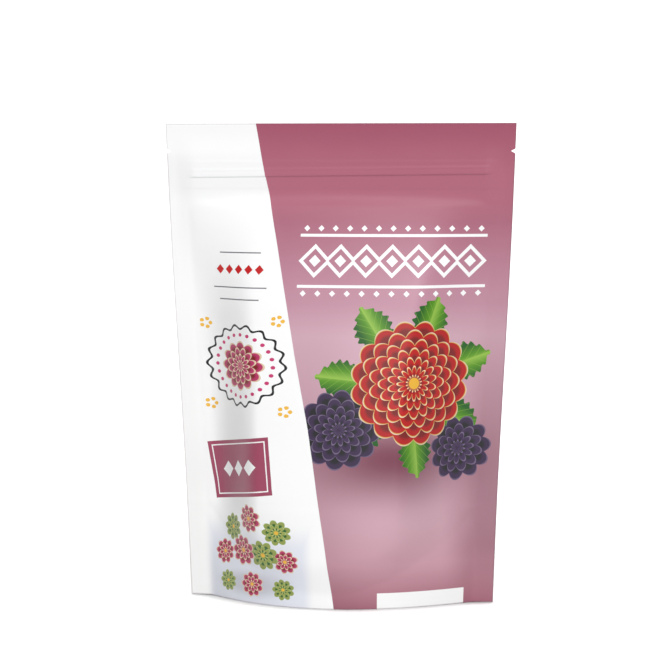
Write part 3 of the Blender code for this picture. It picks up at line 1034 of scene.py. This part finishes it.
# %% [markdown]
# ## The front's layout
# The flowers lie on the mauve with a printed shadow under them, and the small motifs lie on the white.
# Those near the left flank are stretched, because the film turns away there and makes them look narrow.
# What is painted later lies on top.

# %% Front print
# Strengths of the painted shade low at the right and left, and of the printed shadows under the flowers and
# the heap
RIGHT_PAINTED_SHADE = 0.54
LEFT_PAINTED_SHADE = 0.30
FLOWER_SHADOW = 0.9
HEAP_SHADOW = 0.35
# Each dahlia: its centre, its turn in degrees, petals to a ring, rings, ring width, petal depth and colours
DAHLIAS = [
    (5, 74, 10, 12, 5, 3.3, 2.6, AUBERGINE_PETALS),
    (58, 65, 40, 11, 4, 3.4, 2.6, AUBERGINE_PETALS),
    (35, 93, 0, 16, 7, 3.7, 2.9, CRIMSON_PETALS),
]
# Each rosette: its centre, the width of its rings and its colours, from the back of the heap to the front
ROSETTES = [
    (-49, 31, 1.9, OLIVE_PETALS),
    (-20, 31, 1.8, OLIVE_PETALS),
    (-34, 36, 2.0, PINK_PETALS),
    (-55, 20, 1.8, PINK_PETALS),
    (-17, 19, 1.7, PINK_PETALS),
    (-28, 21, 2.1, OLIVE_PETALS),
    (-41, 22, 2.2, PINK_PETALS),
    (-52, 8, 1.5, OLIVE_PETALS),
    (-36, 8, 1.8, PINK_PETALS),
    (-19, 7, 1.5, OLIVE_PETALS),
]
SMALL_FLOWERS = [(-62, 116), (-62, 82), (-22, 118), (-17, 81)]
FRONT_RULES = [(146, 20), (131.5, 28), (126.5, 22)]


def mauve_block(place):
    """The mauve ground with painted shade low down at both sides, and the flowers and the band."""
    x, y = place
    colour = blend_colours(y / FLAT_HEIGHT, MAUVE_BLEND)
    low = 1.0 - y.eased(50, 150)
    # Painted shade: the mauve darkens low down towards the right seal and on the left, where the walls turn
    # away from the light
    colour = paint(colour, x.eased(50, 69) * low * y.eased(-8, 26) * RIGHT_PAINTED_SHADE, SHADE_AND_SHADOW_PLUM)
    colour = paint(colour, (1.0 - x.eased(-8, 26)) * low * LEFT_PAINTED_SHADE, SHADE_AND_SHADOW_PLUM)
    from_shadow = distance((x - 26) / 56, (y - 62) / 27).eased(0.0, 1.0)
    colour = paint(colour, FLOWER_SHADOW - from_shadow * FLOWER_SHADOW, SHADE_AND_SHADOW_PLUM)
    colour = leaf_whorl(colour, slanted(at(place, 33, 92), 20), 7, 17.0, 21.0, 15.0)
    for x0, y0, turn, *flower in DAHLIAS:
        colour = dahlia(colour, slanted(at(place, x0, y0), turn), *flower)
    colour = paint(colour, disc(at(place, 35, 93), 2.3), GOLD)
    band = at(place, 25, 143)
    colour = diamond_band(colour, band)
    for offset in (-13.4, 13.4):
        colour = paint(colour, diamonds(at(band, 0, offset), 13, 6.2, 1.3), WHITE_INK)
    return colour


def white_block(colour, place):
    """The white paper left of the split line, with painted shade low on the seal and over the zipper's tape.
    """
    x, y = place
    # Painted shade: the white greys towards the base of the left seal and over the zipper's tape
    paper = blend_colours(y / FLAT_HEIGHT, [(0.0, PAINTED_SHADE_WHITE), (0.65, WHITE_INK)])
    paper = paint(paper, x.eased(-72, -60), WHITE_INK)
    over_tape = y.eased(166, 174) * (1.0 - y.eased(184, 190))
    paper = paint(paper, over_tape, TAPE_SHADE_WHITE)
    colour = paint(colour, x.below(split_line(y)), paper)
    return paint(colour, block(at(place, 41.9, 3.25), 40.2, 6.5), WHITE_INK)


def rosette_heap(colour, place):
    """A heap of rosettes on a pale ground that fades out at its edges, with a faint shadow."""
    x, y = place
    ground_end = y.eased(22, 36).most((abs(x + 36.2) - 26).eased(0.0, 6.0))
    colour = paint(colour, 1.0 - ground_end, LAVENDER)
    tag = slanted(at(place, -43, 56), 7)
    colour = paint(colour, block(tag, 42, 24), PLUM)
    colour = paint(colour, outline_of_block(tag, 39, 21, 0.5), WHITE_INK)
    colour = paint(colour, diamonds(widened(tag, 1.3), 3, 8.0, 3.4), WHITE_INK)
    from_shadow = distance((x + 37) / 27, (y - 8) / 7).eased(0.3, 1.0)
    colour = paint(colour, HEAP_SHADOW - from_shadow * HEAP_SHADOW, SOFT_GREY)
    for x0, y0, size, petals in ROSETTES:
        rosette = widened(at(place, x0, y0), 1.25)
        colour = dahlia(colour, rosette, 9, 3, size, size * 0.8, petals)
        colour = paint(colour, disc(rosette, size * 0.42), GOLD)
    return colour


def front_print(place):
    colour = rosette_heap(white_block(mauve_block(place), place), place)
    colour = badge(colour, widened(at(place, -40, 99), 1.35), 16.6, 0.9, 12.9, 0.75, 2.6, 2.1)
    for x0, y0 in SMALL_FLOWERS:
        colour = paint(colour, ring_of_dots(widened(at(place, x0, y0), 1.3), 1.7, 5, 0.75), GOLD)
    colour = thin_rules(colour, at(place, -42, 0), FRONT_RULES)
    colour = paint(colour, diamonds(at(place, -42, 139), 5, 5.0, 2.0), CRIMSON)
    return painted_edge_shade(colour, place)


print("front layout:", len(DAHLIAS), "dahlias and", len(ROSETTES), "rosettes")

# %% [markdown]
# ## Printed film
# The ink lies under a thin matt film, so the surface is satin. An even one would look like card, so its
# roughness varies a little and a fine emboss softens its highlights. The three sheets share this finish and
# differ in their drawings.

# %% The satin finish of printed film
SATIN_ROUGHNESS = 0.38
SATIN_SPAN = 0.08
EMBOSS_DEPTH = 0.02 * MM
CLOUD_SCALE = 60.0
EMBOSS_SCALE = 900.0


def satin_film(draw):
    """The look of printed film: a drawing, a slightly uneven satin surface and a fine emboss."""

    def look(tree):
        place = object_place(tree)
        uneven = cloud(place, CLOUD_SCALE, 4.0).eased(0.25, 0.75)
        grain = cloud(place, EMBOSS_SCALE, 2.0)
        emboss = new_node(tree, "ShaderNodeBump", Height=grain, Distance=EMBOSS_DEPTH, Strength=0.25)
        return {
            "Base Color": draw(film_place(tree)),
            "Roughness": uneven * SATIN_SPAN + SATIN_ROUGHNESS,
            "Normal": Field(tree, emboss.outputs[0]),
        }

    return look


front_material = new_material("front_print", satin_film(front_print))
print("front print:", len(front_material.node_tree.nodes), "nodes")

# %% [markdown]
# ## The back's print
# Only the front is in the photo, so the back is a guess in the same style: the same mauve blend, the white
# block on the right, where it meets the front's across the side seal, and a bare white panel for the facts
# a pack has to state.

# %% Back and web print
BACK_PAINTED_SHADE = 0.26
BACK_RULES = [(82, 26), (77, 34), (72, 22)]
# The web is plain, in the mauve of the walls' lower edge
WEB_MAUVE = ink(176, 122, 137)


def back_print(place):
    x, y = place
    colour = blend_colours(y / FLAT_HEIGHT, MAUVE_BLEND)
    # Painted shade, as on the front: darker low down towards the side seal shared with the front's right side
    back_painted_shade = (0.0 - x).eased(50, 69) * (1.0 - y.eased(50, 150))
    colour = paint(colour, back_painted_shade * BACK_PAINTED_SHADE, SHADE_AND_SHADOW_PLUM)
    panel = at(place, -31, 76)
    colour = paint(colour, block(panel, 54, 76), WHITE_INK)
    colour = paint(colour, outline_of_block(panel, 50, 72, 0.6), PLUM)
    for corner_x in (-21, 21):
        for corner_y in (-32, 32):
            colour = paint(colour, diamonds(at(panel, corner_x, corner_y), 1, 6.0, 2.4), PLUM)
    colour = diamond_band(colour, at(place, -26, 143))
    colour = paint(colour, x.above(0.0 - split_line(y)), WHITE_INK)
    colour = badge(colour, widened(at(place, 43, 112), 1.2), 14.6, 0.7, 11.3, 0.65, 2.3, 1.9)
    colour = thin_rules(colour, at(place, 42, 0), BACK_RULES)
    flower = at(place, 40, 38)
    colour = leaf_whorl(colour, flower, 6, 9.0, 13.0, 9.0)
    colour = dahlia(colour, flower, 14, 5, 2.9, 2.3, CRIMSON_PETALS)
    return painted_edge_shade(colour, place)


back_material = new_material("back_print", satin_film(back_print))
web_material = new_material("web_print", satin_film(lambda place: WEB_MAUVE))
print("back print:", len(back_material.node_tree.nodes), "nodes")

# %% [markdown]
# ## Lining and cut edge
# The inner layer is metallised, so it looks silver, and the cut shows the laminate's pale core. Little of
# either can be seen on a closed pouch, but every sheet has both.

# %% Lining and cut edge
SILVER = (0.62, 0.62, 0.64, 1.0)
CORE_WHITE = (0.72, 0.70, 0.71, 1.0)
CLOUD_SHADE = 0.88


def plain_film(colour, roughness, metallic):
    """The look of the inner layer or of the cut through all layers, both a little uneven."""

    def look(tree):
        shade = cloud(object_place(tree), 90.0, 5.0)
        darker = (*(c * CLOUD_SHADE for c in colour[:3]), 1.0)
        return {
            "Base Color": blend_colours(shade, [(0.3, darker), (0.7, colour)]),
            "Roughness": shade * 0.12 + (roughness - 0.06),
            "Metallic": metallic,
        }

    return look


lining = new_material("silver_lining", plain_film(SILVER, 0.34, 0.75))
cut_edge = new_material("cut_edge", plain_film(CORE_WHITE, 0.5, 0.0))
for film, printed in ((front_film, front_material), (back_film, back_material), (web_film, web_material)):
    for material in (printed, lining, cut_edge):
        film.data.materials.append(material)
    print(film.name, "wears", *(material.name for material in film.data.materials))

# %% [markdown]
# ## The zipper's plastic
# The zipper is extruded polyethylene: milky, waxy and slightly clear. Its strips have the right shape in
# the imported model, so they keep their meshes and only get this plastic, with the faint lengthwise streaks
# of an extrusion.

# %% Zipper plastic
STREAK_SCALE = (8.0, 600.0, 600.0)
STREAK_COLOURS = [(0.3, (0.78, 0.79, 0.80, 1.0)), (0.7, (0.90, 0.90, 0.90, 1.0))]


def zipper_look(tree):
    """Milky and slightly clear, with streaks along the strip."""
    stretched = new_node(tree, "ShaderNodeMapping", Vector=object_place(tree), Scale=STREAK_SCALE)
    streak = cloud(Field(tree, stretched.outputs[0]), 1.0, 3.0)
    return {
        "Base Color": blend_colours(streak, STREAK_COLOURS),
        "Roughness": streak * 0.2 + 0.28,
        "Transmission Weight": 0.35,
        "IOR": 1.51,
    }


zipper_plastic = new_material("milky_zipper_plastic", zipper_look)
for name in ("zipper_groove_strip", "zipper_rib_strip"):
    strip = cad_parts[name]
    strip.data.materials.clear()
    strip.data.materials.append(zipper_plastic)
    print(name, "is", round(strip.dimensions.x * 1000), "mm long")

# %% [markdown]
# ## The fruit inside
# Nine fig halves fill the pouch out, hidden but finished like the other pieces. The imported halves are
# coarse, and each one is remade finely where it lies. The coarse mesh tells how: its cut face gives one
# direction and its length the other.

# %% Where a packed half lies
FIG_LENGTH = 37.2 * MM
FIG_WIDTH = 30.7 * MM
SAME_SPOT = 0.01 * MM


def fig_pose(node):
    """A half's place and size: local Z is the cut face's normal, and local X runs from stalk to eye."""
    bm = bmesh.new()
    bm.from_mesh(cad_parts[node].data)
    bmesh.ops.remove_doubles(bm, verts=bm.verts, dist=SAME_SPOT)
    up = max(bm.faces, key=lambda face: face.calc_area()).normal.normalized()
    spots = np.array([vert.co for vert in bm.verts])
    bm.free()
    from_middle = spots - spots.mean(axis=0)
    flat = from_middle - np.outer(from_middle @ np.array(up), np.array(up))
    axis = np.linalg.eigh(flat.T @ flat)[1][:, 2]
    reach = from_middle @ axis
    if reach.max() + reach.min() > 0.0:
        axis = -axis
    along = Vector(axis)
    side = up.cross(along).normalized()
    measures = [spots @ np.array(way) for way in (along, side, up)]
    ends = [(float(measure.min()), float(measure.max())) for measure in measures]
    centre = along * sum(ends[0]) / 2 + side * sum(ends[1]) / 2 + up * ends[2][1]
    turn = Matrix((along, side, up)).transposed().to_4x4()
    return Matrix.Translation(centre) @ turn, [high - low for low, high in ends]


for number in (1, 9):
    sizes = fig_pose(f"fig_half_{number}")[1]
    print("fig half", number, "measures", *(round(size * 1000, 1) for size in sizes), "mm")

# %% [markdown]
# ## One half in fine detail
# A ball is pushed into a fig's shape, with ribs and wrinkles, and cut in two. Filling the open rim would
# give one flat face, so the rim is drawn inwards ring by ring: level at first, then sunk as dry flesh is,
# with small lumps. Where a half lies against a wall, the film presses it flat.

# %% A fig half in fine detail
FIG_SEGMENTS = 56
FIG_RINGS = 34
FIG_DISH = 1.6 * MM
FLESH_MIDDLE = 0.06
# Each ring of the cut face: its size as a share of the rim, and its depth as a share of the dish
FLESH_STEPS = [(0.94, 0.0), (0.90, 0.7), (0.82, 1.0)]
FLESH_STEPS += [(0.82 - 0.07 * step, 1.0) for step in range(1, 11)]
WRINKLE = 0.55 * MM
RIB = 0.35 * MM
RIB_COUNT = 13
FLESH_LUMP = 0.5 * MM
FLESH_LUMP_SIZE = 2.2 * MM
FIG_CLEARANCE = 0.25 * MM
FIG_UV = "fruit"
SKIN_SLOT = 0
FLESH_SLOT = 1


def fig_radius(t):
    """Radius of the fruit at t from the stalk end (0) to the eye (1), as a share of its widest."""
    body = math.sin(math.pi * min(1.0, t) ** 1.35) ** 0.78
    neck = 0.30 * math.exp(-(((t - 0.10) / 0.12) ** 2))
    return max(body, neck * smoothstep(0.0, 0.05, t))


def fig_skin_point(vert, seed):
    """Moves a point of a unit ball onto the fruit: ribs and wrinkles only take skin away."""
    along = (1.0 - vert.co.z) / 2.0
    turn = math.atan2(vert.co.y, vert.co.x)
    at_tip = math.hypot(vert.co.x, vert.co.y) <= 1e-6
    radius = 0.0 if at_tip else fig_radius(along) * FIG_WIDTH / 2
    fold = noise.noise(Vector((along * 3.0, math.cos(turn) * 2.4, math.sin(turn) * 2.4 + seed)))
    fine = noise.noise(Vector((along * 7.0, math.cos(turn) * 7.0, math.sin(turn) * 7.0 + seed)))
    rib = 0.5 + 0.5 * math.cos(turn * RIB_COUNT + fold * 3.0)
    body = smoothstep(0.0, 0.25, fig_radius(along))
    radius -= body * (WRINKLE * abs(fold + 0.5 * fine) + RIB * rib)
    return Vector(((along - 0.5) * FIG_LENGTH, radius * math.cos(turn), radius * math.sin(turn)))


def only(kind, items):
    return [item for item in items if isinstance(item, kind)]


def close_with_flesh(bm, ring, number):
    """Draws the open rim inwards, ring by ring, closes it and returns the new faces."""
    flesh = []
    middle = Vector((FLESH_MIDDLE * FIG_LENGTH, 0.0, 0.0))
    size = 1.0
    for share, depth in FLESH_STEPS:
        grown = bmesh.ops.extrude_edge_only(bm, edges=ring)["geom"]
        spots = set(only(bmesh.types.BMVert, grown))
        flesh += only(bmesh.types.BMFace, grown)
        ring = [edge for edge in only(bmesh.types.BMEdge, grown) if spots.issuperset(edge.verts)]
        for vert in spots:
            vert.co = middle + (vert.co - middle) * (share / size)
            lump = noise.noise(vert.co / FLESH_LUMP_SIZE + Vector((0.0, 0.0, number)))
            vert.co.z = -depth * FIG_DISH + (FLESH_LUMP * lump if depth > 0.5 else 0.0)
        size = share
    lid = bmesh.ops.contextual_create(bm, geom=ring)["faces"]
    return flesh + bmesh.ops.poke(bm, faces=lid)["faces"]


def press_flat(vert):
    """Keeps a point of the fruit between the two films."""
    x, y, z = vert.co
    front = wall_y(x, z, FRONT_SEED, FRONT_CREASES) - FILM - FIG_CLEARANCE
    back = wall_y(x, z, BACK_SEED, BACK_CREASES) - FILM - FIG_CLEARANCE
    vert.co.y = min(back, max(-front, y))


def fig_half(number):
    node = f"fig_half_{number}"
    bm = bmesh.new()
    bmesh.ops.create_uvsphere(bm, u_segments=FIG_SEGMENTS, v_segments=FIG_RINGS, radius=1.0)
    for vert in bm.verts:
        vert.co = fig_skin_point(vert, number * 5.0)
    cut = bmesh.ops.bisect_plane(
        bm,
        geom=bm.verts[:] + bm.edges[:] + bm.faces[:],
        dist=1e-6,
        plane_co=(0.0, 0.0, 0.0),
        plane_no=(0.0, 0.0, 1.0),
        clear_outer=True,
    )
    flesh = close_with_flesh(bm, only(bmesh.types.BMEdge, cut["geom_cut"]), number)
    bmesh.ops.recalc_face_normals(bm, faces=bm.faces)
    uv = bm.loops.layers.uv.new(FIG_UV)
    for face in bm.faces:
        face.smooth = True
        face.material_index = FLESH_SLOT if face in flesh else SKIN_SLOT
        for loop in face.loops:
            loop[uv].uv = (loop.vert.co.x / FIG_LENGTH + 0.5, loop.vert.co.y / FIG_WIDTH + 0.5)
    bmesh.ops.transform(bm, matrix=fig_pose(node)[0], verts=bm.verts)
    for vert in bm.verts:
        press_flat(vert)
    piece = shown(f"fig_piece_{number}", bm)
    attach(piece, "root")
    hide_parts(node)
    return piece


figs = [fig_half(number) for number in range(1, 10)]
print("fig pieces:", len(figs), "with", sum(len(fig.data.polygons) for fig in figs), "faces")

# %% [markdown]
# ## Skin and flesh
# Freeze-drying keeps a fruit's shape and colours and takes its gloss. The skin is a dull, mottled olive,
# and the cut face goes from a cream rim to crimson flesh full of pale seeds. Both are drawn on the fruit's
# own flat coordinates, so the flesh darkens towards its middle however a half lies.

# %% Fruit materials
GRAIN_SCALE = 14.0
SEEDS_ACROSS = 30.0
SEEDED_SHARE = 0.74
SEED_COLOUR = (0.80, 0.52, 0.46, 1.0)
SKIN_COLOURS = [
    (0.32, (0.20, 0.17, 0.06, 1.0)),
    (0.50, (0.36, 0.34, 0.13, 1.0)),
    (0.68, (0.56, 0.50, 0.27, 1.0)),
]
# From the middle of the cut face out to its rim
FLESH_COLOURS = [
    (0.00, (0.16, 0.012, 0.05, 1.0)),
    (0.45, (0.40, 0.04, 0.13, 1.0)),
    (0.70, (0.55, 0.10, 0.22, 1.0)),
    (0.80, (0.78, 0.58, 0.50, 1.0)),
    (1.00, (0.80, 0.72, 0.50, 1.0)),
]


def skin_colour(place, along, across, shade):
    return blend_colours(shade, SKIN_COLOURS)


def flesh_colour(place, along, across, shade):
    """Dark in the middle and pale at the rim, with seeds all over its red part."""
    outward = distance((along - FLESH_MIDDLE - 0.5) * 2.2, (across - 0.5) * 2.0)
    seeds = new_node(place.tree, "ShaderNodeTexVoronoi", Vector=place, Scale=SEEDS_ACROSS)
    seed_mask = 1.0 - Field(place.tree, seeds.outputs["Distance"]).eased(0.12, 0.24)
    colour = blend_colours(outward + (shade - 0.5) * 0.35, FLESH_COLOURS)
    return paint(colour, seed_mask * outward.below(SEEDED_SHARE), SEED_COLOUR)


def matte_fruit(roughness, draw):
    """The look of dry fruit: no gloss, and a grain that changes its roughness and its colour."""

    def look(tree):
        place, along, across = uv_place(tree, FIG_UV)
        shade = cloud(place, GRAIN_SCALE, 6.0)
        colour = draw(place, along, across, shade)
        return {"Base Color": colour, "Roughness": shade * 0.15 + (roughness - 0.08)}

    return look


fig_skin = new_material("dry_fig_skin", matte_fruit(0.86, skin_colour))
fig_flesh = new_material("dry_fig_flesh", matte_fruit(0.90, flesh_colour))
for fig in figs:
    fig.data.materials.append(fig_skin)
    fig.data.materials.append(fig_flesh)
print("fruit materials:", fig_skin.name, "and", fig_flesh.name)
